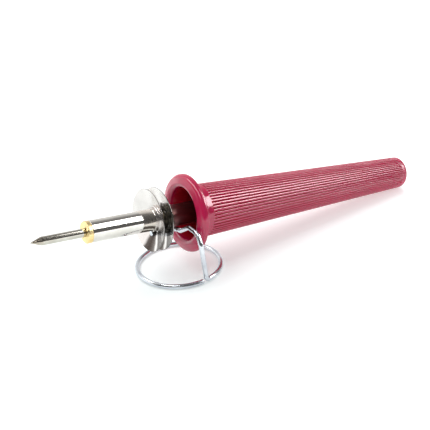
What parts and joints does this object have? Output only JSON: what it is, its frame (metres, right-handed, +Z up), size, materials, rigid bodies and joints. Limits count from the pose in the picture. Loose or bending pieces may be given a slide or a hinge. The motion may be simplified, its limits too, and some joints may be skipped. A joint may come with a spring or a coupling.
{
  "type": "wood burning pen",
  "caption": "Wood burning pen with a fluted tapering handle, bell-mouth flange, steel barrel, round heat shields, pointed tip and a swinging wire ring stand.",
  "frame": {"origin": "on the table, midway along the pen and under the centre of the stand's ring", "axes": "+Z up; the pen lies along X with its tip towards -X and its cord end towards +X, nose up by 7.9 degrees; the stand's leg is on the -Y side"},
  "size_m": [0.2238, 0.0451, 0.0474],
  "materials": {
    "plated_steel_tip": "ground and plated, bright",
    "brass": "turned, bright",
    "nickel_barrel": "polished nickel plate",
    "shield_steel": "polished nickel plate",
    "zinc_wire": "bright zinc plate, drawn wire",
    "crimson_plastic": "gloss, slightly translucent",
    "black_rubber": "matt",
    "phenolic": "matt moulded phenolic",
    "spring_steel": "blued",
    "screw_steel": "zinc plated",
    "mica": "layered, slightly pearly",
    "steatite": "unglazed",
    "nichrome": "oxidised",
    "nickel_lead": "drawn wire",
    "glass_sleeving": "woven glass sleeving",
    "tinned_copper": "tinned"
  },
  "bodies": {
    "pen": {"tip_bushing": "brass", "barrel_tube": "nickel_barrel", "front_heat_shield": "shield_steel", "rear_heat_shield": "shield_steel", "handle_shell": "crimson_plastic", "cord_grommet": "black_rubber", "barrel_hub": "phenolic", "front_push_ring": "spring_steel", "rear_push_ring": "spring_steel", "hub_screws": "screw_steel", "mica_washer": "mica", "heater_core": "steatite", "inner_mica_sleeve": "mica", "outer_mica_sleeve": "mica", "heater_winding": "nichrome", "ceramic_rear_bead": "steatite", "live_lead": "nickel_lead", "neutral_lead": "nickel_lead", "live_lead_sleeving": "glass_sleeving", "neutral_lead_sleeving": "glass_sleeving", "live_crimp": "tinned_copper", "neutral_crimp": "tinned_copper"},
    "stand": {"stand_wire": "zinc_wire"},
    "tip": {"tip": "plated_steel_tip"}
  },
  "joints": [
    {"name": "stand_swing", "type": "hinge", "parent": "pen", "child": "stand", "pos_m": [-0.04953, 0.0014, 0.02315], "axis": [0.9905, 0, -0.1374], "range_deg": [-14, 100]},
    {"name": "tip_removal", "type": "slide", "parent": "pen", "child": "tip", "axis": [-0.9905, 0, 0.1374], "range_m": [0, 0.013]}
  ]
}
